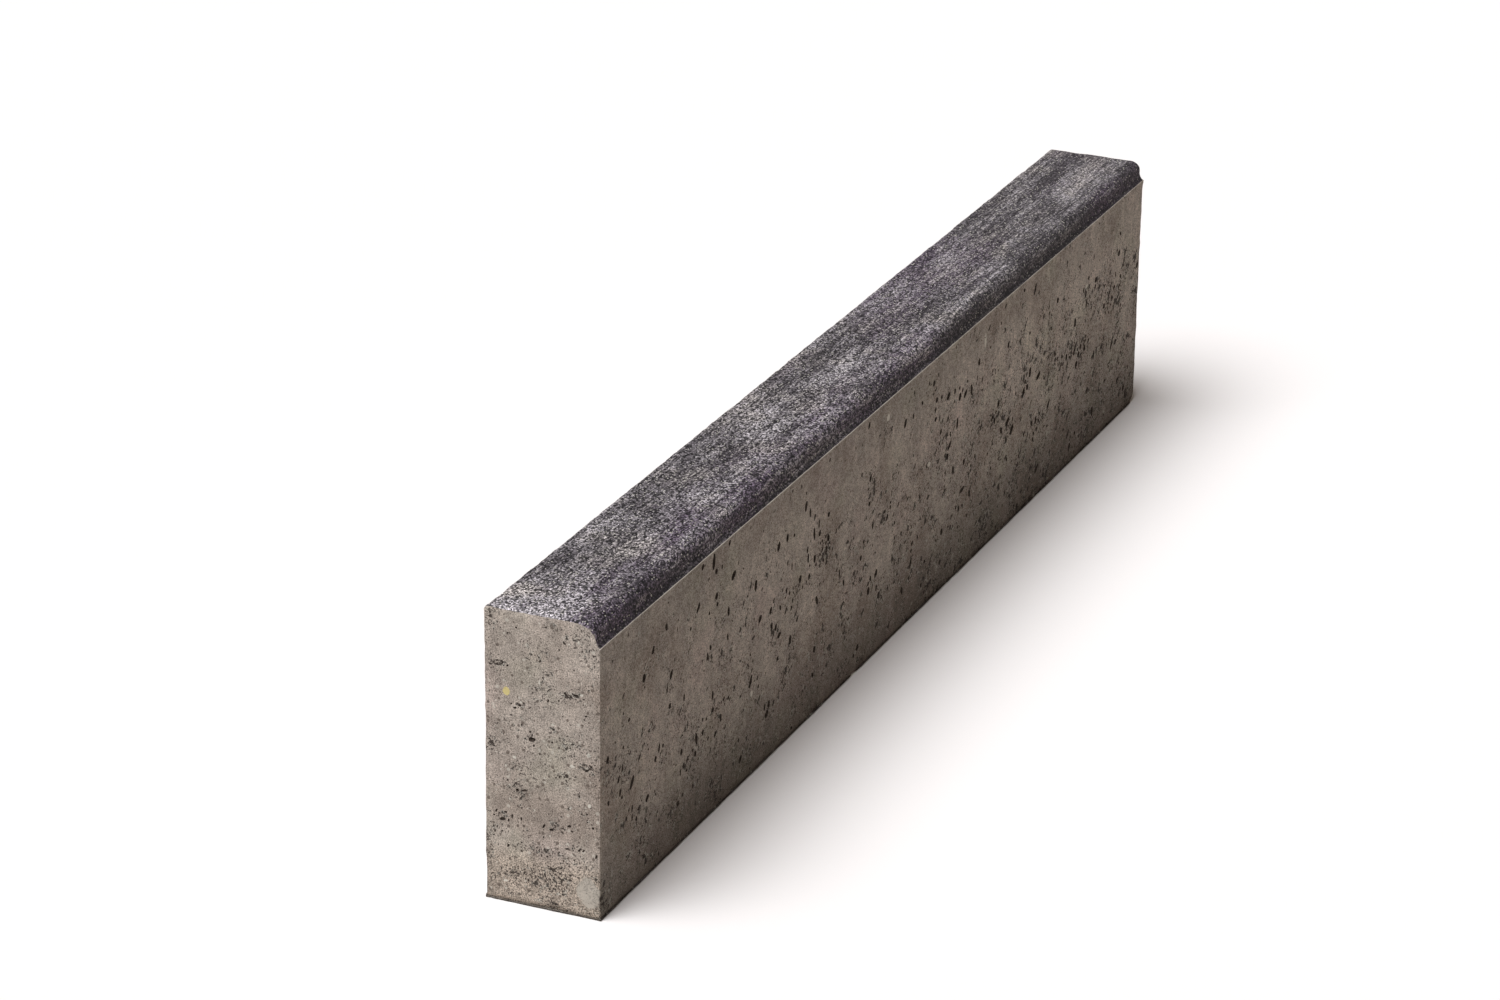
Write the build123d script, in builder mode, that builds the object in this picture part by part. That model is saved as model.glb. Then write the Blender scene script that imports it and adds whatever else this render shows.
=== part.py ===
"""Pressed concrete kerb stone, cast as one piece.

Units are millimetres. X runs along the stone, the rounded long side faces -Y,
the plain back faces +Y and Z is up. The origin is the middle of the bed.
"""

import os

from build123d import *

# Overall size
length = 1000.0
width = 80.0
height = 200.0

# Rounded front crown: a lip on the front face, a hollow toe, a wall and a shoulder
lip_drop = 15.0  # from the top down to the lip
lip_land = 0.6  # flat rim of the lip
wall_setback = 3.5  # from the front face in to the wall of the crown
toe_height = 5.0  # from the lip up to the foot of the wall
shoulder_radius = 8.0

# Arrises
back_arris = 3.0  # top edge of the back
bed_arris = 2.0  # all round the bed
corner_arris = 1.2  # down the four upright corners
end_arris = 0.8  # across the top of each end

# Places that follow from the sizes, across the stone and up from the bed
front_y = -width / 2
back_y = width / 2
lip_z = height - lip_drop
wall_y = front_y + wall_setback
wall_foot_z = lip_z + toe_height
shoulder_foot_z = height - shoulder_radius

with BuildPart() as kerb:
    # The section is drawn at one end and drawn out along the whole stone
    with BuildSketch(Plane.YZ.offset(-length / 2)) as section:
        with BuildLine() as outline:
            bed = Line((back_y - bed_arris, 0), (front_y + bed_arris, 0))
            front_bed_arris = TangentArc(bed @ 1, (front_y, bed_arris), tangent=bed % 1)
            front_face = Line(front_bed_arris @ 1, (front_y, lip_z))
            lip = Line(front_face @ 1, (front_y + lip_land, lip_z))
            wall = Line((wall_y, wall_foot_z), (wall_y, shoulder_foot_z))
            toe = TangentArc(wall @ 0, lip @ 1, tangent=(0, -1))
            shoulder = TangentArc(wall @ 1, (wall_y + shoulder_radius, height), tangent=wall % 1)
            top = Line(shoulder @ 1, (back_y - back_arris, height))
            back_top_arris = TangentArc(top @ 1, (back_y, height - back_arris), tangent=top % 1)
            back_face = Line(back_top_arris @ 1, (back_y, bed_arris))
            back_bed_arris = TangentArc(back_face @ 1, bed @ 0, tangent=back_face % 1)
        make_face()
    extrude(amount=length)

    # The mould box gives the plan, with an arris down each upright corner
    with BuildSketch(Plane.XY) as plan:
        RectangleRounded(length, width, corner_arris)
    extrude(amount=height, mode=Mode.INTERSECT)

    # Seen from the front, the ends have the bed's arris below and a finer one above
    with BuildSketch(Plane.XZ) as elevation:
        Rectangle(length, height, align=(Align.CENTER, Align.MIN))
        bed_corners = elevation.vertices().group_by(Axis.Y)[0]
        fillet(bed_corners, radius=bed_arris)
        top_corners = elevation.vertices().group_by(Axis.Y)[-1]
        fillet(top_corners, radius=end_arris)
    extrude(amount=width, both=True, mode=Mode.INTERSECT)

kerb.part.label = "kerb_stone"

os.makedirs("parts", exist_ok=True)
export_step(kerb.part, "parts/kerb_stone.step")
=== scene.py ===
"""A pressed concrete kerb stone with a charcoal face mix, on a pale studio floor.

Lengths are metres. X runs along the stone, its rounded long side faces -Y, the
plain back faces +Y and Z is up from the bed that it stands on.
"""

import math
import random

import bmesh
import bpy
from mathutils import Euler, Matrix, Vector


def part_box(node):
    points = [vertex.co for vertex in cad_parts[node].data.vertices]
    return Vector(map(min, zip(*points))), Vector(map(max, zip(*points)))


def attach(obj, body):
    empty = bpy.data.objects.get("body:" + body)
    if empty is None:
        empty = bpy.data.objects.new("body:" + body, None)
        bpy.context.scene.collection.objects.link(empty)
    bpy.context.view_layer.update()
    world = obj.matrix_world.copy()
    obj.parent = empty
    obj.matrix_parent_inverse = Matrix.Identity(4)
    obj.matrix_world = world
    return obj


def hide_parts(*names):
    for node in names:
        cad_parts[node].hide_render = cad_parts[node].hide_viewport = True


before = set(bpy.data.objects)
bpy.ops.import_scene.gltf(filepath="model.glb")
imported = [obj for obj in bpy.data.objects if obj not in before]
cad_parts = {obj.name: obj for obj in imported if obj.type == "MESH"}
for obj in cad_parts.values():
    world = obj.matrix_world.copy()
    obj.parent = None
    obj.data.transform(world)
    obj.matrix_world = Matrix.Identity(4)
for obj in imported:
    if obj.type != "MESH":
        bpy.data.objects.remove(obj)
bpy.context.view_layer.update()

MM = 0.001

# The stone, as the frame has it
stone_low, stone_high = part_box("kerb_stone")
LENGTH = stone_high.x - stone_low.x
WIDTH = stone_high.y - stone_low.y
HEIGHT = stone_high.z - stone_low.z
LEFT_X, RIGHT_X = stone_low.x, stone_high.x
FRONT_Y, BACK_Y = stone_low.y, stone_high.y

# The rounded crown along the front: lip, hollow toe, wall and shoulder
LIP_Z = HEIGHT - 15.0 * MM
WALL_Y = FRONT_Y + 3.5 * MM
TOE_REACH = 2.9 * MM
TOE_HEIGHT = 5.0 * MM
SHOULDER_RADIUS = 8.0 * MM

# Arrises
BACK_ARRIS = 3.0 * MM
BED_ARRIS = 1.6 * MM
END_ARRIS = 0.9 * MM

HAIR = 0.02 * MM  # two places nearer than this are the same place

# The cells that the plain form is cut into before it is worn
CELL = 4.4 * MM
ARRIS_ROWS = [1.2 * MM, 2.6 * MM, 4.6 * MM]  # how far the close rows lie from an arris or the lip
WALL_ROW_Z = LIP_Z + 6.5 * MM
BACK_ROW_Z = HEIGHT - BACK_ARRIS - 1.5 * MM
COLUMN_CUTS = 15  # in each of two rounds, so 16 times 16 columns along the stone
COLUMN_EDGES = (0.5, 0.03)  # each round cuts the edges along the stone that are longer than this


# Choosing and shaping


def choose(kind, test):
    """Selects the edited vertices, edges or faces that pass a test of place and direction."""
    bpy.ops.mesh.select_mode(type=kind)
    bpy.ops.mesh.select_all(action="DESELECT")
    data = bpy.context.edit_object.data
    mesh = bmesh.from_edit_mesh(data)
    if kind == "VERT":
        parts = [(v, v.co, v.normal) for v in mesh.verts]
    elif kind == "EDGE":
        ends = [(e, e.verts[0].co, e.verts[1].co) for e in mesh.edges]
        parts = [(e, (start + stop) / 2, stop - start) for e, start, stop in ends]
    else:
        parts = [(f, f.calc_center_median(), f.normal) for f in mesh.faces]
    for part, place, direction in parts:
        if test(place, direction):
            part.select_set(True)
    mesh.select_flush_mode()
    bmesh.update_edit_mesh(data)


def near(a, b):
    return abs(a - b) < HAIR


def fade(value, near_value, far_value):
    """1 at near_value, 0 at far_value, and straight between them."""
    return max(0.0, min(1.0, (far_value - value) / (far_value - near_value)))


def runs_along_x(direction):
    return abs(direction.x) > 0.999 * direction.length


def round_the_rim(place):
    """Whether a place lies on one of the four upright sides."""
    return abs(place.y) > WIDTH / 2 - HAIR or abs(place.x) > LENGTH / 2 - HAIR


def cut_all(point, normal):
    bpy.ops.mesh.select_all(action="SELECT")
    bpy.ops.mesh.bisect(plane_co=point, plane_no=normal)


def bevel_chosen(size, segments, profile=0.5):
    bpy.ops.mesh.bevel(
        offset=size, segments=segments, profile=profile, affect="EDGES", clamp_overlap=False
    )


def rough_block():
    """The stone's plain form: a block with the crown drawn up from it, and every arris rounded."""
    bpy.ops.object.select_all(action="DESELECT")
    bpy.ops.mesh.primitive_cube_add(
        size=1, location=(0, 0, LIP_Z / 2), scale=(LENGTH, WIDTH, LIP_Z)
    )
    bpy.ops.object.transform_apply(location=True, rotation=True, scale=True)
    block = bpy.context.object
    block.name = block.data.name = "pressed_kerb_stone"
    bpy.ops.object.mode_set(mode="EDIT")

    cut_all((0, WALL_Y, 0), (0, 1, 0))
    choose("FACE", lambda p, n: n.z > 0.9 and p.y > WALL_Y)
    bpy.ops.mesh.extrude_region_move(TRANSFORM_OT_translate={"value": (0, 0, HEIGHT - LIP_Z)})

    # The toe is rounded evenly and then drawn up to its height
    choose("EDGE", lambda p, d: runs_along_x(d) and near(p.y, WALL_Y) and near(p.z, LIP_Z))
    bevel_chosen(TOE_REACH, 3, profile=0.4)
    toe_top = LIP_Z + TOE_REACH
    choose("VERT", lambda p, n: p.y < WALL_Y + HAIR and LIP_Z - HAIR < p.z < toe_top + HAIR)
    bpy.ops.transform.resize(
        value=(1, 1, TOE_HEIGHT / TOE_REACH), center_override=(0, 0, LIP_Z)
    )

    choose("EDGE", lambda p, d: runs_along_x(d) and near(p.y, WALL_Y) and near(p.z, HEIGHT))
    bevel_chosen(SHOULDER_RADIUS, 8)
    choose("EDGE", lambda p, d: runs_along_x(d) and near(p.y, BACK_Y) and near(p.z, HEIGHT))
    bevel_chosen(BACK_ARRIS, 3)
    choose("EDGE", lambda p, d: near(p.z, 0) and round_the_rim(p))
    bevel_chosen(BED_ARRIS, 3)
    choose("EDGE", lambda p, d: near(abs(p.x), LENGTH / 2) and abs(d.x) < HAIR)
    bevel_chosen(END_ARRIS, 2)
    return block


def steps(start, stop, size):
    """Evenly spaced places between two ends, as near as they can be to a size apart."""
    count = max(1, round((stop - start) / size))
    return [start + (stop - start) * i / count for i in range(1, count)]


def lay_out_grid():
    """Cuts the plain form into small cells, closer together at the arrises and the lip."""
    widest = ARRIS_ROWS[-1]
    z_rows = [BED_ARRIS + row for row in ARRIS_ROWS]
    z_rows += steps(BED_ARRIS + widest, LIP_Z - widest, CELL)
    z_rows += [LIP_Z - row for row in ARRIS_ROWS]
    z_rows += [WALL_ROW_Z, BACK_ROW_Z]
    for z in z_rows:
        cut_all((0, 0, z), (0, 0, 1))

    y_low, y_high = WALL_Y + SHOULDER_RADIUS, BACK_Y - BACK_ARRIS
    y_rows = [y_high - row for row in ARRIS_ROWS[:2]]
    y_rows += steps(y_low, y_high - ARRIS_ROWS[1], CELL)
    y_rows += [FRONT_Y + BED_ARRIS + row for row in ARRIS_ROWS[:2]]
    for y in y_rows:
        cut_all((0, y, 0), (0, 1, 0))

    for row in ARRIS_ROWS:
        for side in (-1, 1):
            cut_all((side * (LENGTH / 2 - END_ARRIS - row), 0, 0), (1, 0, 0))
    for shortest in COLUMN_EDGES:
        choose("EDGE", lambda p, d: runs_along_x(d) and d.length > shortest)
        bpy.ops.mesh.subdivide(number_cuts=COLUMN_CUTS)
    choose("FACE", lambda p, n: abs(n.x) > 0.99)
    bpy.ops.mesh.subdivide(number_cuts=1)


# The near end's rim across the crown, as its height over the lip and how far in from the front
# it lies, both in millimetres
RIM_OUTLINE = [(0, 0.5), (3.3, 2.0), (8.5, 5.1), (12.3, 8.7), (14.6, 14.2), (15, 19)]
RIM_THICKNESS = 1.0 * MM
RIM_FULL = 1.0 * MM  # the rim moves in full as far behind the crown's surface as this
RIM_BLEND = 14 * MM  # and not at all from here on


def between(value, points):
    """The height of a line through points, at a value."""
    for (x0, y0), (x1, y1) in zip(points, points[1:]):
        if value <= x1:
            return y0 + (y1 - y0) * max(0.0, value - x0) / (x1 - x0)
    return points[-1][1]


def crown_inset(up):
    """How far in from the front the crown lies at a height over the lip."""
    shoulder_foot = HEIGHT - LIP_Z - SHOULDER_RADIUS
    if up > shoulder_foot:
        rise = min(1.0, (up - shoulder_foot) / SHOULDER_RADIUS)
        return WALL_Y - FRONT_Y + SHOULDER_RADIUS * (1 - math.sqrt(1 - rise * rise))
    return WALL_Y - FRONT_Y - TOE_REACH * max(0.0, 1 - up / TOE_HEIGHT)


def shape_near_end(stone):
    """At the near end a thin cement rim closes the hollow of the toe, and the shoulder is worn."""
    for vertex in stone.data.vertices:
        up = vertex.co.z - LIP_Z
        if vertex.co.x < LEFT_X + RIM_THICKNESS and 0 < up < HEIGHT - LIP_Z + HAIR:
            inset = crown_inset(up)
            moved = between(up / MM, RIM_OUTLINE) * MM - inset
            vertex.co.y += moved * fade(vertex.co.y - FRONT_Y - inset, RIM_FULL, RIM_BLEND)


# Relief pressed and worn into the surface


def weigh(stone, name, weight):
    """A vertex group whose weights come from each vertex's place and normal."""
    group = stone.vertex_groups.new(name=name)
    for vertex in stone.data.vertices:
        amount = weight(vertex.co, vertex.normal)
        if amount > 0.01:
            group.add([vertex.index], min(1.0, amount), "REPLACE")
    return name


def roughen(stone, name, grain, depth, middle, group="", direction="NORMAL"):
    """Pushes the surface in and out by a cloudy pattern.

    The grain is the pattern's size and the depth its whole travel. The middle is the share of
    the depth that goes inwards.
    """
    texture = bpy.data.textures.new(name, type="CLOUDS")
    texture.noise_scale = grain
    texture.noise_depth = 2
    push = stone.modifiers.new(name, "DISPLACE")
    push.texture = texture
    push.strength = depth
    push.mid_level = middle
    push.direction = direction
    push.vertex_group = group
    bpy.ops.object.modifier_apply(modifier=name)


def side_gap(p):
    return min(p.y - FRONT_Y, BACK_Y - p.y)


def end_gap(p):
    return LENGTH / 2 - abs(p.x)


def on_arris(p, n):
    """1 on an arris, where two faces meet, fading over a few millimetres.

    The lip's two tips are left out.
    """
    gaps = sorted((side_gap(p), end_gap(p), min(p.z, HEIGHT - p.z)))
    by_tip = fade(math.hypot(p.y - FRONT_Y, end_gap(p), p.z - LIP_Z), 3 * MM, 7 * MM)
    return fade(gaps[1], 1.2 * MM, 4.0 * MM) * (1 - by_tip)


def on_lip(p, n):
    return fade(abs(p.z - LIP_Z), 0, 1.5 * MM) * fade(p.y - FRONT_Y, 0.2 * MM, 0.9 * MM)


def on_top(p, n):
    return fade(-p.z, -HEIGHT + 9 * MM, -LIP_Z) if n.z > 0.3 else 0.0


def on_coarse_foot(p, n):
    """The ends are rough and open near the bed, where the mix was compacted least."""
    return fade(p.z, 22 * MM, 42 * MM) * fade(end_gap(p), 1 * MM, 8 * MM)


def wear_surface(stone):
    arris = weigh(stone, "arris", on_arris)
    lip = weigh(stone, "lip", on_lip)
    top = weigh(stone, "top", on_top)
    foot = weigh(stone, "foot", on_coarse_foot)
    roughen(stone, "slow_waves", 45 * MM, 0.35 * MM, 0.75)
    roughen(stone, "skin", 7 * MM, 0.22 * MM, 0.7)
    roughen(stone, "pressed_grains", 3.2 * MM, 0.5 * MM, 0.75, group=top)
    roughen(stone, "open_foot", 2.6 * MM, 0.75 * MM, 0.75, group=foot)
    roughen(stone, "rubbed_arris", 5 * MM, 0.9 * MM, 0.8, group=arris)
    roughen(stone, "knocked_arris", 19 * MM, 1.0 * MM, 0.9, group=arris)
    roughen(stone, "ragged_lip", 4.5 * MM, 0.6 * MM, 0.5, group=lip, direction="Z")


# Pores and knocks, cut out of the surface


# The faces that are cut into, and which way is out of each
FRONT, BACK, NEAR_END, FAR_END, BED, TOP = "front", "back", "near_end", "far_end", "bed", "top"
FACE_OUTWARD = {
    FRONT: Vector((0, -1, 0)),
    BACK: Vector((0, 1, 0)),
    NEAR_END: Vector((-1, 0, 0)),
    FAR_END: Vector((1, 0, 0)),
    BED: Vector((0, 0, -1)),
    TOP: Vector((0, 0, 1)),
}


def place_on(face, across, up):
    """A point of a face: across is the first of the stone's axes that lie in it, up the second."""
    if face in (FRONT, BACK):
        return Vector((across, FRONT_Y if face == FRONT else BACK_Y, up))
    if face in (NEAR_END, FAR_END):
        return Vector((LEFT_X if face == NEAR_END else RIGHT_X, across, up))
    return Vector((across, up, 0 if face == BED else HEIGHT))


# Groups of pores that the eye goes to: face, across, up, spread across, spread up, how many and
# their width. Across is from the near end on the front, and from the back on the near end, in mm.
SEEN_GROUPS = [
    (NEAR_END, 11, 163, 9, 2, 7, 1.1),
    (NEAR_END, 59, 150, 10, 3, 11, 1.2),
    (NEAR_END, 25, 138, 9, 3, 8, 1.3),
    (NEAR_END, 47, 125, 3, 4, 4, 1.2),
    (NEAR_END, 33, 117, 3, 4, 5, 1.8),
    (NEAR_END, 5, 107, 4, 5, 8, 1.4),
    (NEAR_END, 54, 95, 6, 2, 6, 1.3),
    (NEAR_END, 27, 79, 4, 2, 5, 1.6),
    (NEAR_END, 69, 104, 6, 3, 4, 1.2),
    (NEAR_END, 12, 60, 7, 3, 9, 1.5),
    (NEAR_END, 50, 59, 9, 5, 16, 1.2),
    (NEAR_END, 72, 65, 5, 5, 12, 1.4),
    (NEAR_END, 65, 46, 10, 3, 9, 1.2),
    (NEAR_END, 35, 40, 26, 5, 14, 1.0),
    (NEAR_END, 40, 22, 34, 12, 14, 0.9),
    (NEAR_END, 8, 16, 4, 2, 5, 1.6),
    (NEAR_END, 24, 188, 2, 2, 2, 1.2),
    (FRONT, 30, 87, 8, 20, 12, 1.6),
    (FRONT, 49, 53, 14, 8, 12, 1.9),
    (FRONT, 104, 125, 2, 4, 3, 2.4),
    (FRONT, 89, 80, 10, 5, 8, 1.9),
    (FRONT, 175, 151, 4, 5, 5, 2.1),
    (FRONT, 202, 156, 2, 4, 4, 2.4),
    (FRONT, 272, 151, 4, 5, 6, 2.2),
    (FRONT, 165, 115, 6, 6, 6, 2.2),
    (FRONT, 180, 72, 24, 3, 14, 1.7),
    (FRONT, 150, 60, 40, 16, 22, 1.6),
    (FRONT, 338, 137, 6, 6, 8, 2.0),
    (FRONT, 346, 115, 30, 14, 34, 1.9),
    (FRONT, 260, 39, 4, 7, 8, 2.3),
    (FRONT, 291, 100, 30, 24, 20, 1.7),
    (FRONT, 466, 98, 16, 8, 8, 2.0),
    (FRONT, 441, 57, 12, 8, 10, 2.2),
    (FRONT, 558, 147, 2, 9, 9, 2.2),
    (FRONT, 567, 122, 3, 8, 9, 2.2),
    (FRONT, 607, 139, 8, 6, 9, 2.3),
    (FRONT, 630, 137, 5, 5, 7, 2.2),
    (FRONT, 582, 104, 6, 5, 7, 2.3),
    (FRONT, 518, 45, 5, 7, 9, 2.6),
    (FRONT, 588, 44, 9, 6, 9, 2.2),
    (FRONT, 554, 169, 14, 3, 4, 1.9),
    (FRONT, 664, 73, 4, 7, 8, 2.6),
    (FRONT, 679, 98, 9, 5, 11, 2.4),
    (FRONT, 742, 101, 12, 10, 16, 2.2),
    (FRONT, 706, 77, 10, 8, 10, 2.3),
    (FRONT, 771, 60, 22, 10, 26, 1.8),
    (FRONT, 754, 172, 6, 2, 4, 2.2),
    (FRONT, 946, 142, 5, 5, 5, 2.3),
    (FRONT, 926, 111, 20, 14, 26, 1.8),
    (FRONT, 943, 67, 7, 1, 5, 1.9),
    (FRONT, 861, 91, 34, 18, 30, 1.8),
    (FRONT, 881, 130, 30, 14, 14, 1.8),
]

GROUP_SCALE = {FRONT: 1.95, NEAR_END: 1.45}  # on the widths above

# The same kind of mark all over each face: how many, and the least and greatest width in mm
SCATTER = [
    (FRONT, 360, 1.4, 5.0),
    (BACK, 210, 1.4, 3.6),
    (NEAR_END, 90, 0.8, 1.8),
    (FAR_END, 60, 1.0, 2.6),
    (BED, 60, 1.4, 3.2),
    (TOP, 14, 1.0, 1.6),
]

# Where a pore's middle may lie on each face: least and greatest across, least and greatest up
END_ROOM = (FRONT_Y + 2 * MM, BACK_Y - 2 * MM, 4 * MM, LIP_Z + 4 * MM)
PORE_ROOM = {
    FRONT: (LEFT_X + 2 * MM, RIGHT_X - 3 * MM, 4 * MM, LIP_Z - 3 * MM),
    BACK: (LEFT_X + 3 * MM, RIGHT_X - 3 * MM, 4 * MM, HEIGHT - 6 * MM),
    NEAR_END: END_ROOM,
    FAR_END: END_ROOM,
    BED: (LEFT_X + 5 * MM, RIGHT_X - 5 * MM, FRONT_Y + 5 * MM, BACK_Y - 5 * MM),
    TOP: (LEFT_X + 5 * MM, RIGHT_X - 5 * MM, WALL_Y + 14 * MM, BACK_Y - 6 * MM),
}
ROOM_BETWEEN = 0.25 * MM  # between two pores
PORE_LENGTHS = (1.0, 1.3, 1.7, 2.4)  # for a pore's width, one of these by chance
PORE_LEAN = 0.35  # radians along the stone, and the spread about it
LEAN_SPREAD = 0.4
END_TURNS = (0, 1.2)  # radians, one of these by chance on the ends
PORE_DEPTH = (0.35, 0.6)  # least and greatest, as a share of the width
PORE_OUT = 0.1  # share of its depth by which a pore's body stands off the stone
LOW_BIAS = 1.25  # over 1, more pores lie low on the upright faces than high
LARGE_PORE = 2.2 * MM  # a wider pore gets a finer shape
RAGGED_SHARE = 0.13  # of a pore's width, by which its outline is pushed about
PORE_SEED = 20

# Knocks on arrises: place in mm from the left front foot, and the size in mm of what is gone
KNOCKS = [
    ((0, 80, 200), (9, 8, 7)),
    ((1000, 0, 0), (52, 30, 40)),
    ((1000, 0, 42), (4, 5, 30)),
    ((0, 80, 0), (2.4, 2.4, 2.4)),
    ((415, 0, 0), (8, 3, 3)),
    ((702, 80, 200), (7, 3, 3)),
    ((0, 22, 200), (1.6, 5, 1.6)),
    ((1000, 62, 0), (3, 8, 3)),
    ((252, 80, 0), (12, 4, 4)),
    ((1000, 80, 120), (2, 2.4, 7)),
    ((0, 0, 70), (1.4, 1.6, 5)),
]
KNOCK_OUT = 0.62  # share of its size by which a knock's body stands off the stone
KNOCK_BREADTH = 1.25
KNOCK_RAGGED = 0.7 * MM
BY_A_FACE = 16 * MM  # a knock nearer to a face than this takes from that face
KNOCK_SEED = 8
RAGGED_SEED = 3


def pore_list(chance):
    """Every pore to cut, none over another: face, place, width, length and lean."""
    pores = []

    def try_pore(face, across, up, wide):
        left, right, painted_foot_shade, high = PORE_ROOM[face]
        if not (left < across < right and painted_foot_shade < up < high):
            return
        long = wide * chance.choice(PORE_LENGTHS) * chance.uniform(0.85, 1.1)
        spot = place_on(face, across, up)
        for other_face, other_spot, _, other_long, _ in pores:
            room = (other_long + long) / 2 + ROOM_BETWEEN
            if other_face == face and (other_spot - spot).length < room:
                return
        pores.append((face, spot, wide, long, chance.gauss(PORE_LEAN, LEAN_SPREAD)))

    for face, across, up, spread_across, spread_up, count, width in SEEN_GROUPS:
        for _ in range(count):
            off = (across + chance.gauss(0, 0.5) * spread_across) * MM
            off = LEFT_X + off if face == FRONT else BACK_Y - off
            high = (up + chance.gauss(0, 0.5) * spread_up) * MM
            wide = width * GROUP_SCALE[face] * chance.uniform(0.55, 1.25) * MM
            try_pore(face, off, high, wide)

    for face, count, narrow, broad in SCATTER:
        side = (FRONT_Y, BACK_Y) if face in (NEAR_END, FAR_END) else (LEFT_X, RIGHT_X)
        for _ in range(count):
            off = chance.uniform(*side)
            if face in (BED, TOP):
                high = chance.uniform(FRONT_Y, BACK_Y)
            else:
                high = LIP_Z * chance.uniform(0, 1) ** LOW_BIAS
            wide = narrow + (broad - narrow) * chance.random() ** 2
            try_pore(face, off, high, wide * MM)
    return pores


def empty_cutter(name):
    """An object with an empty mesh, opened for the bodies that are cut out of the stone."""
    bpy.ops.object.select_all(action="DESELECT")
    bpy.ops.mesh.primitive_ico_sphere_add(subdivisions=1, radius=MM, location=(0, 0, -1))
    cutter = bpy.context.object
    cutter.name = name
    bpy.ops.object.mode_set(mode="EDIT")
    bpy.ops.mesh.delete(type="VERT")
    return cutter


def model_pores():
    """The small bodies that pores are cut with, in one mesh."""
    chance = random.Random(PORE_SEED)
    cutter = empty_cutter("pore_cutter")
    for face, spot, wide, long, lean in pore_list(chance):
        outward = FACE_OUTWARD[face]
        deep = wide * chance.uniform(*PORE_DEPTH)
        if face in (FRONT, BACK):
            turn, size = (0, lean, 0), (wide / 2, deep, long / 2)
        elif face in (NEAR_END, FAR_END):
            turn, size = (lean + chance.choice(END_TURNS), 0, 0), (deep, wide / 2, long / 2)
        else:
            turn, size = (0, 0, chance.uniform(0, 3)), (wide / 2, long / 2, deep)
        bpy.ops.mesh.primitive_ico_sphere_add(
            subdivisions=2 if wide > LARGE_PORE else 1,
            radius=1,
            location=spot + outward * deep * PORE_OUT,
            rotation=turn,
            scale=size,
        )
        bpy.ops.transform.vertex_random(
            offset=RAGGED_SHARE * wide, uniform=0.0, normal=0.0, seed=chance.randrange(999)
        )
    bpy.ops.object.mode_set(mode="OBJECT")
    return cutter


def model_knocks():
    """The bodies that knocks are cut with, in one mesh. Each stands off its corner or arris."""
    chance = random.Random(KNOCK_SEED)
    cutter = empty_cutter("knock_cutter")
    halves = (LENGTH / 2, WIDTH / 2, HEIGHT / 2)
    for place, gone in KNOCKS:
        spot = Vector((LEFT_X + place[0] * MM, FRONT_Y + place[1] * MM, place[2] * MM))
        outward = Vector((0, 0, 0))
        for i, off in enumerate(spot - Vector((0, 0, HEIGHT / 2))):
            if abs(abs(off) - halves[i]) < BY_A_FACE:
                outward[i] = math.copysign(gone[i], off)
        bpy.ops.mesh.primitive_ico_sphere_add(
            subdivisions=3,
            radius=1,
            location=spot + outward * KNOCK_OUT * MM,
            rotation=[chance.uniform(-0.3, 0.3) for _ in range(3)],
            scale=[g * MM * KNOCK_BREADTH for g in gone],
        )
    bpy.ops.mesh.select_all(action="SELECT")
    bpy.ops.transform.vertex_random(
        offset=KNOCK_RAGGED, uniform=0.0, normal=0.0, seed=RAGGED_SEED
    )
    bpy.ops.object.mode_set(mode="OBJECT")
    return cutter


def cut_away(stone, cutter, finish):
    """Cuts the cutter's bodies out of the stone, with a finish for the cuts, and removes it."""
    for material in stone.data.materials:
        cutter.data.materials.append(material)
    for face in cutter.data.polygons:
        face.material_index = finish
    bpy.ops.object.select_all(action="DESELECT")
    stone.select_set(True)
    bpy.context.view_layer.objects.active = stone
    cut = stone.modifiers.new(cutter.name, "BOOLEAN")
    cut.operation = "DIFFERENCE"
    cut.solver = "MANIFOLD"
    cut.material_mode = "INDEX"
    cut.object = cutter
    bpy.ops.object.modifier_apply(modifier=cut.name)
    bpy.data.objects.remove(cutter)


# Finishes


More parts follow.
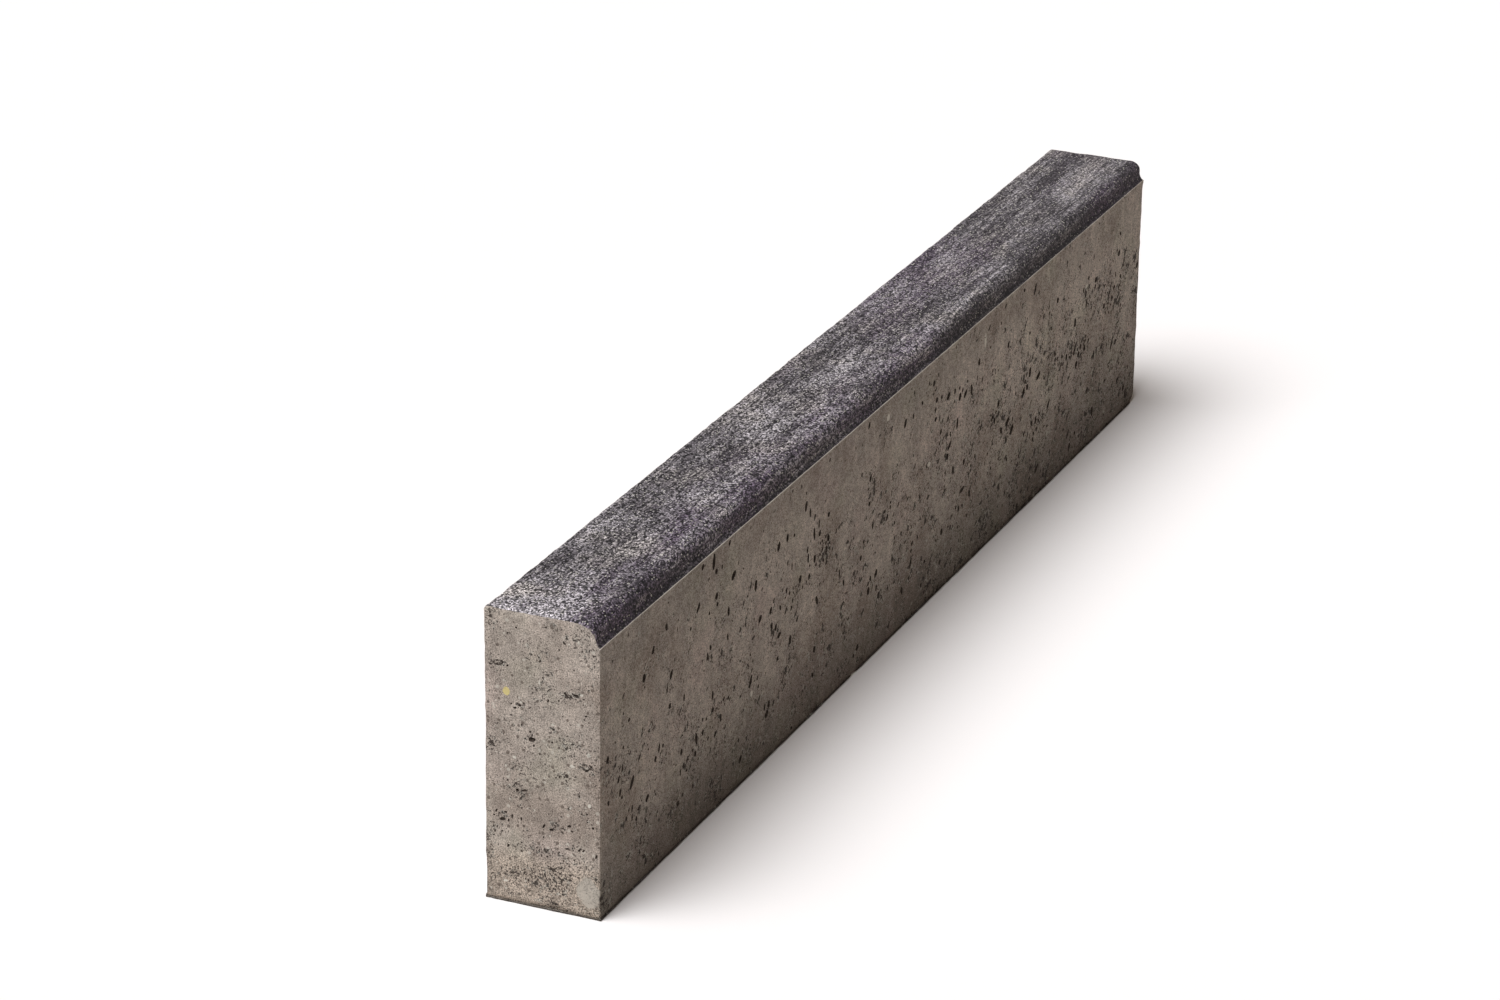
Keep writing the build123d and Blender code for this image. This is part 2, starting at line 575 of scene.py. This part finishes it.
class Finish:
    """A material built node by node. Most methods add nodes and give the socket they end in."""

    def __init__(self, name):
        self.material = bpy.data.materials.new(name)
        self.material.use_nodes = True
        self.nodes = self.material.node_tree.nodes
        self.links = self.material.node_tree.links
        self.shader = self.nodes["Principled BSDF"]
        self.place = self.nodes.new("ShaderNodeTexCoord").outputs["Object"]
        axes = self.nodes.new("ShaderNodeSeparateXYZ")
        self.links.new(self.place, axes.inputs[0])
        self.x, self.y, self.z = axes.outputs

    def feed(self, socket, value):
        if isinstance(value, bpy.types.NodeSocket):
            self.links.new(value, socket)
        elif isinstance(value, tuple) and socket.type == "RGBA":
            socket.default_value = (*value, 1.0)
        else:
            socket.default_value = value

    def maths(self, operation, *values):
        node = self.nodes.new("ShaderNodeMath")
        node.operation = operation
        for socket, value in zip(node.inputs, values):
            self.feed(socket, value)
        return node.outputs[0]

    def join(self, operation, values):
        """Joins each of the values in turn to those before it."""
        values = iter(values)
        joined = next(values)
        for value in values:
            joined = self.maths(operation, joined, value)
        return joined

    def plus(self, *values):
        return self.join("ADD", values)

    def times(self, *values):
        return self.join("MULTIPLY", values)

    def most(self, *values):
        return self.join("MAXIMUM", values)

    def span(self, value, painted_foot_shade, high, out_low=0.0, out_high=1.0):
        """Goes smoothly from out_low to out_high as the value goes from low to high."""
        node = self.nodes.new("ShaderNodeMapRange")
        node.interpolation_type = "SMOOTHSTEP"
        for socket, setting in zip(node.inputs, (value, painted_foot_shade, high, out_low, out_high)):
            self.feed(socket, setting)
        return node.outputs[0]

    def drawn_out(self, size, stretch, shift, lean=0.0):
        """The place on the stone, counted in sizes along each axis and leant along the stone."""
        node = self.nodes.new("ShaderNodeMapping")
        node.vector_type = "TEXTURE"
        self.feed(node.inputs["Vector"], self.place)
        node.inputs["Location"].default_value = [-shift * size * share for share in (1, 0.7, 0.4)]
        node.inputs["Rotation"].default_value = (0, lean, 0)
        node.inputs["Scale"].default_value = [size * s for s in stretch]
        return node.outputs[0]

    def cloud(self, size, stretch=(1, 1, 1), detail=2.0, rough=0.5, shift=0.0, lean=0.0):
        """Cloudy noise about 0.5."""
        node = self.nodes.new("ShaderNodeTexNoise")
        self.feed(node.inputs["Vector"], self.drawn_out(size, stretch, shift, lean))
        node.inputs["Scale"].default_value = 1.0
        node.inputs["Detail"].default_value = detail
        node.inputs["Roughness"].default_value = rough
        return node.outputs[0]

    def grains(self, size, stretch=(1, 1, 1), shift=0.0):
        """Packed grains: how far from one's middle, in sizes, and two chance values for each."""
        node = self.nodes.new("ShaderNodeTexVoronoi")
        self.feed(node.inputs["Vector"], self.drawn_out(size, stretch, shift))
        node.inputs["Scale"].default_value = 1.0
        split = self.nodes.new("ShaderNodeSeparateColor")
        self.links.new(node.outputs["Color"], split.inputs[0])
        return node.outputs["Distance"], split.outputs[0], split.outputs[1]

    def blend(self, share, under, over, how="MIX"):
        node = self.nodes.new("ShaderNodeMix")
        node.data_type = "RGBA"
        node.blend_type = how
        self.feed(node.inputs[0], share)
        self.feed(node.inputs[6], under)
        self.feed(node.inputs[7], over)
        return node.outputs[2]

    def on_vector(self, operation, *vectors):
        """A node that works on vectors, which are sockets or plain numbers."""
        node = self.nodes.new("ShaderNodeVectorMath")
        node.operation = operation
        for socket, vector in zip(node.inputs, vectors):
            self.feed(socket, vector)
        return node.outputs["Value" if operation == "LENGTH" else "Vector"]

    def ragged_place(self, size, reach):
        """The place on the stone, pushed about by noise, so that a patch has a ragged outline."""
        noise = self.nodes.new("ShaderNodeTexNoise")
        self.feed(noise.inputs["Vector"], self.drawn_out(size, (1, 1, 1), 3.0))
        noise.inputs["Scale"].default_value = 1.0
        noise.inputs["Detail"].default_value = 3.0
        spread, start = (2 * reach,) * 3, (-reach,) * 3
        push = self.on_vector("MULTIPLY_ADD", noise.outputs["Color"], spread, start)
        return self.on_vector("ADD", push, self.place)

    def patch(self, place, middle, reach, hard):
        """1 in a round patch and 0 outside, soft over the share that hard leaves of its reach."""
        offset = self.on_vector("SUBTRACT", place, middle)
        counted = self.on_vector("MULTIPLY", offset, tuple(1 / r for r in reach))
        return self.span(self.on_vector("LENGTH", counted), 1.0, hard)

    def raise_surface(self, height, depth):
        """Bump from a height of 0 to 1, with its whole depth in metres."""
        bump = self.nodes.new("ShaderNodeBump")
        self.feed(bump.inputs["Height"], height)
        bump.inputs["Distance"].default_value = depth
        self.links.new(bump.outputs[0], self.shader.inputs["Normal"])

    def done(self, colour, roughness):
        self.feed(self.shader.inputs["Base Color"], colour)
        self.feed(self.shader.inputs["Roughness"], roughness)
        self.shader.inputs["Specular IOR Level"].default_value = 0.3
        return self.material


# Colours, as linear red, green and blue
CEMENT = (0.411, 0.350, 0.302)
DAMP_CEMENT = (0.318, 0.259, 0.218)
ROSY_CEMENT = (0.416, 0.339, 0.297)
MOSSY_CEMENT = (0.381, 0.337, 0.277)
MILKY_CEMENT = (0.56, 0.50, 0.43)
PALE_GRIT = (0.74, 0.69, 0.60)
SANDY_CEMENT = (0.398, 0.324, 0.260)
YELLOW_GRIT = (0.76, 0.63, 0.27)
DARK_GRIT = (0.13, 0.10, 0.08)
# painted shade inside pores
PAINTED_PORE_SHADE = (0.042, 0.031, 0.024)
CHARCOAL = (0.063, 0.054, 0.058)
# near black for the gaps between grains, and painted shade in the toe
BLACK_GAP_AND_SHADE = (0.022, 0.019, 0.020)
ASH = (0.346, 0.314, 0.322)
PLUM_CHARCOAL = (0.081, 0.062, 0.081)
WARM_ASH = (0.412, 0.366, 0.345)


def end_place(from_back, up):
    return (LEFT_X, BACK_Y - from_back * MM, up * MM)


def front_place(along, up):
    return (LEFT_X + along * MM, FRONT_Y, up * MM)


def top_place(along, from_back):
    return (LEFT_X + along * MM, BACK_Y - from_back * MM, HEIGHT)


# Single pale grains that show: place, and reach across and up in millimetres
PALE_MARKS = [
    (end_place(38.5, 154.9), 0.9, 1.9),
    (end_place(47.4, 128.2), 1.2, 1.0),
    (end_place(71.6, 112.2), 1.5, 1.6),
    (end_place(60.3, 102.5), 1.5, 1.1),
    (end_place(20.9, 100.9), 1.4, 1.1),
    (end_place(15, 94.1), 0.8, 1.0),
    (end_place(72.2, 77.8), 1.3, 1.4),
    (end_place(59.4, 73.9), 0.9, 1.2),
    (end_place(14.2, 14.4), 2.0, 0.8),
    (end_place(65.1, 186.2), 0.8, 1.5),
    (end_place(67.1, 151.7), 1.4, 0.9),
    (end_place(25.7, 139.2), 1.0, 0.8),
    (front_place(466, 172), 3.2, 2.8),
    (front_place(654, 166), 2.2, 6.0),
    (front_place(873, 137), 3.0, 2.0),
    (front_place(328, 119), 2.0, 2.2),
    (front_place(233, 59), 2.2, 2.4),
    (front_place(547, 108), 3.0, 2.0),
]
YELLOW_MARK = (end_place(15.8, 144.8), 2.8, 3.0)


def cement_colour(f, ragged, coarse):
    """Cloudy cement, darker in a band of the near end and sandy at the feet of both ends."""
    colour = f.blend(f.span(f.cloud(75 * MM, shift=1.0), 0.38, 0.62), ROSY_CEMENT, MOSSY_CEMENT)
    colour = f.blend(f.span(f.cloud(34 * MM, shift=2.0), 0.3, 0.6), colour, CEMENT)
    damp = f.span(f.cloud(46 * MM, detail=3.0, shift=5.0), 0.45, 0.75)
    colour = f.blend(damp, colour, DAMP_CEMENT)
    end_band = f.patch(ragged, end_place(45, 65), (12 * MM, 60 * MM, 24 * MM), 0.3)
    colour = f.blend(f.times(end_band, 0.8), colour, DAMP_CEMENT)
    return f.blend(f.times(coarse, 0.7), colour, SANDY_CEMENT)


def cement_tone(f, on_front, on_ends, coarse, sand):
    """How light the cement is, by its sand, streaks and bands and by the side it is on. Painted
    shade darkens the front's foot, the top of the front and the bed; painted light brightens the
    front and, partly, the ends.
    """

    def only(where, tone):
        return f.span(where, 0.0, 1.0, 1.0, tone)

    bands = f.cloud(20 * MM, stretch=(1, 1, 3), detail=4.0, rough=0.55, shift=12.0)
    streaks = f.cloud(2.2 * MM, stretch=(1, 1, 12), detail=3.0, shift=7.0)
    mottle = f.cloud(7 * MM, detail=5.0, rough=0.6, shift=8.0)
    sand_depth = f.span(coarse, 0.0, 1.0, 0.56, 0.84)
    painted_foot_shade = f.span(f.z, 90 * MM, 0.0)
    by_lip = f.span(f.z, 135 * MM, LIP_Z - 10 * MM)
    upper_far = f.times(f.span(f.x, -50 * MM, 250 * MM), f.span(f.z, 70 * MM, 130 * MM))
    return f.times(
        f.span(streaks, 0.25, 0.75, 0.95, 1.05),
        f.span(bands, 0.3, 0.7, 0.90, 1.10),
        f.span(mottle, 0.3, 0.7, 0.84, 1.16),
        f.plus(1.0, f.times(f.span(sand, 0.25, 0.75, -1.0, 1.0), sand_depth)),
        # painted shade: the front is darker towards its foot, where little light bounces up from
        # the floor in the stone's shadow
        only(f.times(on_front, painted_foot_shade), 0.56),
        # painted shade: the front is darker towards the lip
        only(f.times(on_front, by_lip), 0.83),
        # painted light: the whole front is made lighter, for light it lacks while facing away from
        # the lamp
        only(on_front, 1.12),
        only(f.times(on_front, upper_far), 1.16),
        # The ends are lighter, partly as a tone of their own and partly as painted light.
        only(on_ends, 1.12),
        # painted shade: darker in the lowest two millimetres, where the bed arris turns under
        # towards the floor
        f.span(f.z, 0.9 * MM, 2.2 * MM, 0.25, 1.0),
    )


def pit_crowding(f, torn, on_front, on_ends, coarse):
    """How closely the pits crowd: cloudy, denser in the seen groups and towards the far end."""

    def group_patch(face, across, up, spread_across, spread_up):
        place = front_place(across, up) if face == FRONT else end_place(across, up)
        reach = max(spread_across, 3) * MM
        return f.patch(torn, place, (reach, reach, max(spread_up, 3) * MM), 0.3)

    groups = f.join("MAXIMUM", (group_patch(*group[:5]) for group in SEEN_GROUPS))
    return f.plus(
        f.cloud(24 * MM, detail=4.0, rough=0.55, shift=4.0),
        f.times(coarse, 0.03),
        f.times(on_front, f.span(f.x, -150 * MM, 250 * MM, 0.05, 0.14)),
        f.times(on_front, f.span(f.z, 110 * MM, LIP_Z, 0.03, -0.13)),
        f.times(groups, f.span(on_front, 0.0, 1.0, 0.27, 0.09)),
        f.times(on_ends, 0.012),
    )


def shaded_pits_and_lit_rims(f, crowd, on_front):
    """Pits painted dark as their shade, leaning along the stone on its front and upright
    elsewhere, and their rims, painted pale as highlight.
    """
    leaning = f.cloud(4.2 * MM, stretch=(1, 1, 1.6), detail=4.0, rough=0.6, shift=6.0, lean=0.7)
    upright = f.cloud(2.6 * MM, stretch=(1, 1.3, 1), detail=4.0, rough=0.62, shift=6.0)
    elsewhere = f.plus(1.0, f.times(on_front, -1.0))
    shape = f.plus(f.times(leaning, on_front), f.times(upright, elsewhere))
    level = f.span(crowd, 0.34, 0.82, 0.700, 0.548)
    pits = f.span(shape, level, f.plus(level, 0.03))
    rim_highlights = f.span(shape, f.plus(level, -0.045), f.plus(level, -0.01))

    fine_shape = f.cloud(1.3 * MM, detail=2.0, rough=0.6, shift=3.0)
    fine_level = f.span(crowd, 0.34, 0.82, 0.700, 0.545)
    fine_pits = f.span(fine_shape, fine_level, f.plus(fine_level, 0.05))
    return f.most(pits, fine_pits), rim_highlights


def pressed_concrete():
    """The stone's body: warm grey cement with sand, small grains, ragged pits and drag marks, with
    painted shade in the pits and painted highlight on their rims and along the lip.
    """
    f = Finish("pressed_concrete")
    on_front = f.span(f.y, FRONT_Y + 2 * MM, FRONT_Y + 0.8 * MM)
    on_ends = f.span(f.maths("ABSOLUTE", f.x), LENGTH / 2 - 2 * MM, LENGTH / 2 - 0.8 * MM)
    coarse = f.times(on_ends, f.span(f.z, 44 * MM, 26 * MM))
    ragged = f.ragged_place(12 * MM, 7 * MM)
    torn = f.ragged_place(1.6 * MM, 0.7 * MM)
    sand = f.cloud(0.8 * MM, detail=2.0, rough=0.7, shift=9.0)

    colour = cement_colour(f, ragged, coarse)
    tone = cement_tone(f, on_front, on_ends, coarse, sand)
    colour = f.blend(1.0, colour, tone, how="MULTIPLY")

    middle, chance, other = f.grains(3.4 * MM)
    in_grain = f.maths("LESS_THAN", middle, f.span(other, 0.0, 1.0, 0.12, 0.36))
    pale_grit = f.times(in_grain, f.maths("GREATER_THAN", chance, 0.90))
    colour = f.blend(f.times(pale_grit, 0.5), colour, PALE_GRIT)
    dark_grit = f.times(in_grain, f.maths("LESS_THAN", chance, 0.20))
    colour = f.blend(f.times(dark_grit, 0.75), colour, DARK_GRIT)

    crowd = pit_crowding(f, torn, on_front, on_ends, coarse)
    pits, rim_highlights = shaded_pits_and_lit_rims(f, crowd, on_front)
    # Rims painted pale as highlight, and pits painted dark as their shade
    colour = f.blend(f.times(rim_highlights, f.span(other, 0.4, 0.7), 0.6), colour, PALE_GRIT)
    colour = f.blend(f.times(pits, 0.93), colour, PAINTED_PORE_SHADE)

    # A smooth pale patch low on the near end fills its pits, and a faint one lies on the front
    end_patch = f.patch(ragged, end_place(72.5, 18), (9 * MM, 9 * MM, 13 * MM), 0.75)
    front_patch = f.patch(ragged, front_place(64, 50), (12 * MM, 9 * MM, 9 * MM), 0.2)
    milky = f.most(f.times(end_patch, 0.9), f.times(front_patch, 0.2))
    colour = f.blend(milky, colour, MILKY_CEMENT)

    def mark(hard, place, across, up):
        return f.patch(torn, place, (across * MM, across * MM, up * MM), hard)

    marks = f.join("MAXIMUM", (mark(0.75, *grain) for grain in PALE_MARKS))
    colour = f.blend(f.times(marks, 0.9), colour, PALE_GRIT)
    colour = f.blend(f.times(mark(0.8, *YELLOW_MARK), 0.95), colour, YELLOW_GRIT)

    # A thin broken pale line along the lip, fainter towards the far end: painted highlight on the
    # lip's edge, partly pale worn cement
    broken = f.span(f.cloud(9 * MM, shift=2.5), 0.35, 0.6, 0.45, 1.0)
    by_lip = f.span(f.z, LIP_Z - 0.7 * MM, LIP_Z - 0.3 * MM)
    fainter = f.span(f.x, -200 * MM, 420 * MM, 1.0, 0.25)
    colour = f.blend(f.times(by_lip, on_front, broken, fainter), colour, MILKY_CEMENT)

    swell = f.cloud(3.0 * MM, detail=3.0, shift=3.5)
    height = f.plus(f.times(sand, 0.5), f.times(swell, 0.8), f.times(pits, -1.6))
    f.raise_surface(height, 0.35 * MM)
    return f.done(colour, f.span(sand, 0.3, 0.7, 0.97, 0.86))


# Patches of the face mix that are paler or darker: place, reach along and across in mm, how much
FACE_PATCHES = [
    (top_place(12, 14), 70, 24, 0.46),
    (top_place(18, 44), 70, 24, 0.30),
    (top_place(2, 40), 16, 30, 0.22),
    (top_place(60, 75), 110, 10, -0.20),
    (top_place(350, 38), 55, 24, 0.24),
    (top_place(600, 40), 110, 30, -0.05),
    (top_place(136, 10), 30, 8, 0.22),
    (top_place(212, 50), 26, 14, 0.22),
    (top_place(259, 54), 30, 12, 0.24),
    (top_place(337, 64), 50, 8, 0.22),
    (top_place(463, 44), 55, 13, 0.20),
    (top_place(609, 12), 40, 7, 0.18),
    (top_place(559, 28), 50, 7, 0.08),
    (top_place(769, 51), 34, 9, 0.20),
    (top_place(914, 49), 62, 14, 0.26),
    (top_place(904, 48), 26, 7, 0.16),
    (top_place(658, 68), 190, 5, 0.14),
    (top_place(478, 70), 120, 4, 0.12),
    (top_place(81, 11), 55, 7, -0.26),
    (top_place(75, 56), 52, 15, -0.16),
    (top_place(126, 26), 26, 6, -0.16),
    (top_place(183, 22), 18, 11, -0.22),
    (top_place(443, 24), 58, 9, -0.24),
    (top_place(543, 50), 40, 11, -0.16),
    (top_place(430, 56), 14, 8, -0.14),
    (top_place(789, 29), 44, 6, -0.22),
    (top_place(939, 26), 80, 11, -0.36),
    (top_place(998, 38), 40, 14, -0.24),
    (top_place(298, 26), 60, 9, -0.12),
]


def face_paleness(f):
    """How pale the face mix is, by its clouds, its drag streaks and the patches that show, and
    darker on the shoulder as painted shade.
    """
    ragged = f.ragged_place(14 * MM, 10 * MM)
    clouds = f.cloud(10 * MM, stretch=(7, 1, 1), detail=5.0, rough=0.62, shift=1.5)
    drags = f.cloud(1.6 * MM, stretch=(20, 1, 1), detail=3.0, rough=0.6, shift=2.5)
    paleness = f.plus(f.span(clouds, 0.3, 0.7, -0.21, 0.21), f.span(drags, 0.3, 0.7, -0.20, 0.20))
    for place, along, across, amount in FACE_PATCHES:
        patch = f.patch(ragged, place, (along * MM, across * MM, 40 * MM), 0.1)
        paleness = f.plus(paleness, f.times(patch, amount))

    shoulder = f.span(f.y, WALL_Y + 8.5 * MM, WALL_Y + 5 * MM)
    uneven = f.cloud(26 * MM, stretch=(2.5, 1, 1), detail=4.0, shift=9.0)
    # Painted shade on the shoulder, where the crown turns away from the lamp, with an uneven tone
    # over it
    return f.plus(
        paleness,
        f.times(shoulder, f.span(f.x, -200 * MM, 300 * MM, -0.15, -0.19)),
        f.times(shoulder, f.span(uneven, 0.35, 0.65, -0.12, 0.14)),
        f.span(f.x, -60 * MM, 60 * MM, 0.01, -0.03),
    )


def charcoal_face_mix():
    """The top's face mix: dark and pale grains pressed together, clouded and streaked, with
    painted shade on the shoulder and in the toe.
    """
    f = Finish("charcoal_face_mix")
    plum = f.span(f.cloud(60 * MM, stretch=(3, 1, 1), shift=3.0), 0.45, 0.65)
    dark = f.blend(plum, CHARCOAL, PLUM_CHARCOAL)
    pale = f.blend(f.span(f.cloud(40 * MM, shift=5.0), 0.45, 0.65), ASH, WARM_ASH)
    colour = f.blend(f.span(f.plus(face_paleness(f), 0.335), 0.0, 1.0), dark, pale)

    # Grains of two sizes, less marked towards the far end
    middle, chance, other = f.grains(1.15 * MM, stretch=(1.3, 1, 1))
    fine_chance = f.grains(0.7 * MM, shift=4.0)[1]
    coarse_speckle = f.span(chance, 0.1, 1.0, 0.15, 2.4)
    speckle = f.times(coarse_speckle, f.span(fine_chance, 0.0, 1.0, 0.38, 1.62))
    speckle = f.blend(f.span(f.x, -100 * MM, 450 * MM, 0.0, 0.3), speckle, (1.0, 1.0, 1.0))
    colour = f.blend(1.0, colour, speckle, how="MULTIPLY")
    bright = f.times(f.maths("GREATER_THAN", other, 0.91), f.maths("LESS_THAN", middle, 0.45))
    colour = f.blend(f.times(bright, 0.7), colour, PALE_GRIT)
    gap = f.span(middle, 0.5, 0.85)
    colour = f.blend(f.times(gap, 0.5), colour, BLACK_GAP_AND_SHADE)

    # Bare cement shows in a thin uneven line at each end and in places along the back arris
    wander = f.span(f.cloud(4 * MM, detail=3.0, shift=6.5), 0.3, 0.7, -0.8 * MM, 0.8 * MM)
    inset = f.plus(f.times(f.maths("ABSOLUTE", f.x), -1.0), LENGTH / 2, wander)
    back_line = f.span(f.y, BACK_Y - 2.2 * MM, BACK_Y - 1.0 * MM)
    back_line = f.times(back_line, f.span(f.cloud(8 * MM, shift=7.5), 0.4, 0.6))
    bare = f.most(f.span(inset, 1.1 * MM, 0.4 * MM), back_line)
    colour = f.blend(f.times(bare, 0.75), colour, CEMENT)

    # Painted shade in the hollow of the toe, over the lip
    over_lip = f.plus(f.z, f.span(f.cloud(5 * MM, shift=8.5), 0.3, 0.7, -0.35 * MM, 0.35 * MM))
    toe_shade = f.span(over_lip, LIP_Z + 3.4 * MM, LIP_Z + 1.4 * MM)
    colour = f.blend(f.times(toe_shade, 0.6), colour, BLACK_GAP_AND_SHADE)

    height = f.times(f.span(middle, 0.0, 0.8, 1.0, 0.0), f.span(chance, 0.0, 1.0, 0.5, 1.0))
    f.raise_surface(f.plus(height, f.times(fine_chance, 0.3)), 0.4 * MM)
    return f.done(colour, f.span(chance, 0.0, 1.0, 0.78, 0.95))


def open_pore():
    """The inside of a pore: cement with dust in it, painted dark as the pore's shade."""
    f = Finish("open_pore")
    dust = f.cloud(0.9 * MM, detail=3.0)
    f.raise_surface(dust, 0.3 * MM)
    colour = f.blend(f.span(dust, 0.45, 0.75), PAINTED_PORE_SHADE, DARK_GRIT)
    return f.done(colour, f.span(dust, 0.3, 0.7, 0.9, 1.0))


def broken_concrete():
    """Where a corner or an arris is knocked off: bare sand and grit, paler than the skin."""
    f = Finish("broken_concrete")
    middle, chance, other = f.grains(1.6 * MM, shift=2.0)
    sand = f.cloud(0.8 * MM, detail=3.0, rough=0.7, shift=1.0)
    colour = f.blend(f.span(chance, 0.55, 0.95), CEMENT, PALE_GRIT)
    colour = f.blend(f.times(f.maths("LESS_THAN", other, 0.15), 0.6), colour, DARK_GRIT)
    colour = f.blend(1.0, colour, f.span(sand, 0.25, 0.75, 0.65, 1.2), how="MULTIPLY")
    f.raise_surface(f.plus(f.span(middle, 0.0, 0.8, 1.0, 0.0), sand), 0.5 * MM)
    return f.done(colour, f.span(sand, 0.3, 0.7, 0.9, 1.0))


# Where each finish stands in the stone's list, after the concrete
FACE_MIX, PORE, BROKEN = 1, 2, 3


def finish_faces(stone):
    """Gives the stone its finishes. The face mix covers the crown, from the toe to the back."""
    for material in (pressed_concrete(), charcoal_face_mix(), open_pore(), broken_concrete()):
        stone.data.materials.append(material)
    choose("FACE", lambda p, n: p.z > LIP_Z + HAIR and abs(n.x) < 0.5 and n.y < 0.8)
    stone.active_material_index = FACE_MIX
    bpy.ops.object.material_slot_assign()


# The studio

FLOOR_HALF = 6.0
FLOOR_WHITE = (0.965, 0.915, 0.885)  # as the camera sees it
FLOOR_BOUNCE = (0.56, 0.535, 0.508)  # as the stone is lit by it
ROOM_WHITE = (0.99, 0.99, 0.99)  # as the camera sees it
ROOM_LIGHT = (0.085, 0.066, 0.048)  # as the stone is lit by it
TOWARDS_LAMP = (-0.389, 0.206, 0.898)
LAMP_PLACE = (-1.2, 0.6, 2.7)
LAMP_STRENGTH = 3.62
LAMP_SPREAD = math.radians(44)
LAMP_COLOUR = (0.965, 1.0, 1.045)


def studio_floor():
    bpy.ops.object.select_all(action="DESELECT")
    bpy.ops.mesh.primitive_plane_add(size=2 * FLOOR_HALF, location=(0, 0, 0))
    floor = bpy.context.object
    floor.name = "studio_floor"
    f = Finish("studio_paper")
    rays = f.nodes.new("ShaderNodeLightPath").outputs
    seen = f.most(rays["Is Camera Ray"], rays["Is Glossy Ray"], rays["Is Transmission Ray"])
    f.feed(f.shader.inputs["Base Color"], f.blend(seen, FLOOR_BOUNCE, FLOOR_WHITE))
    f.shader.inputs["Roughness"].default_value = 1.0
    f.shader.inputs["Specular IOR Level"].default_value = 0.0
    floor.data.materials.append(f.material)


def studio_light():
    """A dim room that looks white, and a broad lamp high over the near end, a little behind."""
    world = bpy.data.worlds.new("studio_room")
    bpy.context.scene.world = world
    world.use_nodes = True
    nodes, links = world.node_tree.nodes, world.node_tree.links
    rays = nodes.new("ShaderNodeLightPath").outputs
    seen = nodes.new("ShaderNodeMath")
    seen.operation = "MAXIMUM"
    links.new(rays["Is Camera Ray"], seen.inputs[0])
    links.new(rays["Is Transmission Ray"], seen.inputs[1])
    shown = nodes.new("ShaderNodeMix")
    shown.data_type = "RGBA"
    links.new(seen.outputs[0], shown.inputs[0])
    shown.inputs[6].default_value = (*ROOM_LIGHT, 1.0)
    shown.inputs[7].default_value = (*ROOM_WHITE, 1.0)
    links.new(shown.outputs[2], nodes["Background"].inputs["Color"])

    bpy.ops.object.light_add(type="SUN", location=LAMP_PLACE)
    lamp = bpy.context.object
    lamp.name = "broad_lamp"
    lamp.rotation_euler = Vector(TOWARDS_LAMP).to_track_quat("Z", "Y").to_euler()
    lamp.data.energy = LAMP_STRENGTH
    lamp.data.angle = LAMP_SPREAD
    lamp.data.color = LAMP_COLOUR


# The camera, where the photo was taken from
PHOTO_WIDTH = 1500
FOCAL_LENGTH_PX = 4750.7
SENSOR_WIDTH_MM = 36.0
CAMERA_PLACE = (-2.88153, -1.16294, 1.35985)
CAMERA_YAW = math.radians(23.3011)
CAMERA_PITCH = math.radians(22.2339)
CAMERA_ROLL = math.radians(0.7454)


def photo_camera():
    data = bpy.data.cameras.new("photo_camera")
    camera = bpy.data.objects.new("photo_camera", data)
    bpy.context.scene.collection.objects.link(camera)
    data.sensor_width = SENSOR_WIDTH_MM
    data.lens = FOCAL_LENGTH_PX / PHOTO_WIDTH * SENSOR_WIDTH_MM
    aim = Euler((math.pi / 2 - CAMERA_PITCH, 0, CAMERA_YAW - math.pi / 2)).to_matrix()
    turn = Matrix.Rotation(CAMERA_ROLL, 3, "Z")
    camera.matrix_world = Matrix.Translation(CAMERA_PLACE) @ (aim @ turn).to_4x4()
    bpy.context.scene.camera = camera


# Making the stone

SMOOTH_UNDER = math.radians(40)  # a sharper edge between two faces stays sharp

stone = rough_block()
lay_out_grid()
finish_faces(stone)
bpy.ops.object.mode_set(mode="OBJECT")
shape_near_end(stone)
wear_surface(stone)
cut_away(stone, model_knocks(), BROKEN)
cut_away(stone, model_pores(), PORE)
bpy.ops.object.shade_smooth_by_angle(angle=SMOOTH_UNDER)
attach(stone, "root")
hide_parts("kerb_stone")

studio_floor()
studio_light()
photo_camera()
bpy.context.scene.view_settings.view_transform = "Standard"
